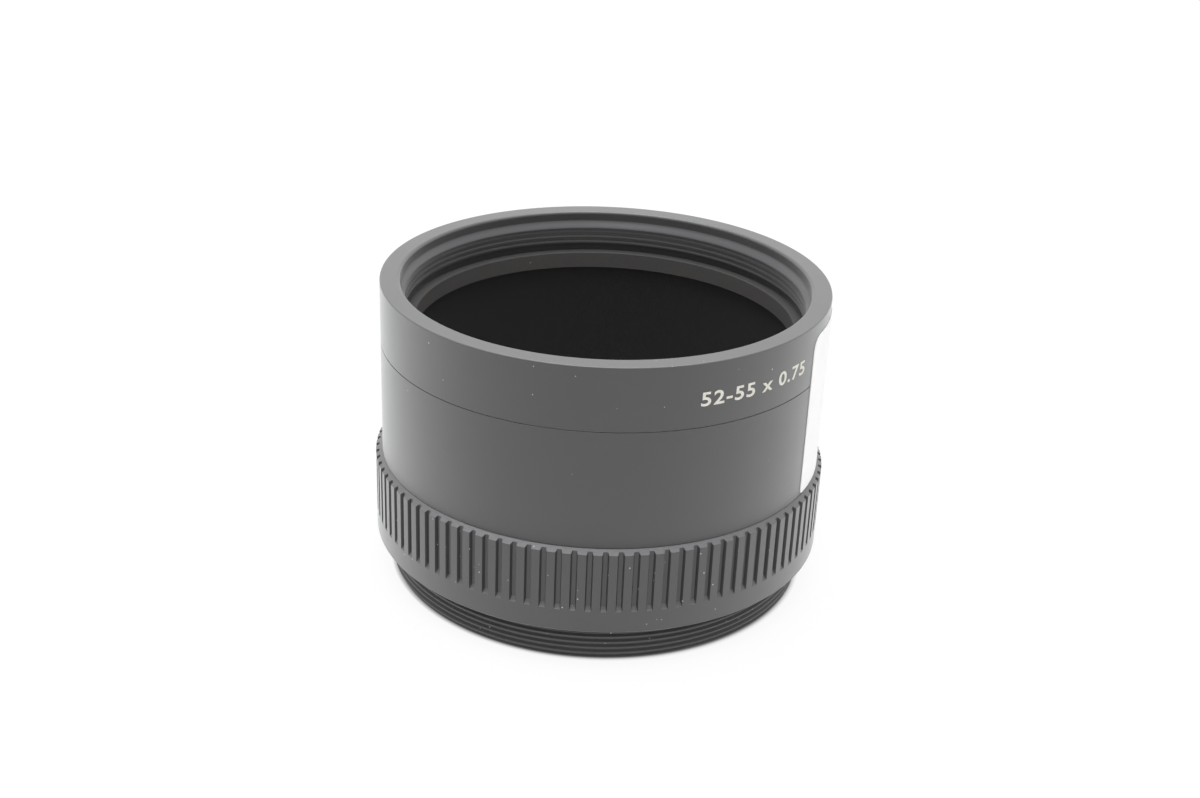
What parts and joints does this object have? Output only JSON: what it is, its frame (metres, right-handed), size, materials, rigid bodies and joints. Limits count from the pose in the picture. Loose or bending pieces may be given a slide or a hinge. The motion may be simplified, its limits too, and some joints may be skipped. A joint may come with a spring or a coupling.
{
  "type": "lens mount adapter",
  "caption": "Short black adapter tube with a female lens thread in front and a knurled, freely turning coupling that screws into the camera by a male thread.",
  "frame": {"origin": "centre of the rear end, on the plane that the adapter stands on", "axes": "+Z along the optical axis, from the camera towards the lens; the knurled coupling is at the bottom"},
  "size_m": [0.0592, 0.0592, 0.0396],
  "materials": {
    "black_anodised": "satin black anodised",
    "blackened_steel": "blackened",
    "light_trap": "dead matt black",
    "slip_plastic": "smooth matt",
    "label_paper": "matt white paper"
  },
  "bodies": {
    "coupling": {"grip_ring": "black_anodised", "mount_ring": "black_anodised", "mount_ring_screws": "blackened_steel"},
    "tube": {"barrel": "black_anodised", "front_ring": "black_anodised", "bore_liner": "light_trap", "retaining_ring": "black_anodised", "retaining_ring_screws": "blackened_steel", "slip_washer": "slip_plastic", "paper_label": "label_paper"}
  },
  "joints": [
    {"name": "coupling_turn", "type": "hinge", "parent": "coupling", "child": "tube", "pos_m": [0, 0, 0.0148], "axis": [0, 0, 1], "continuous": true}
  ]
}
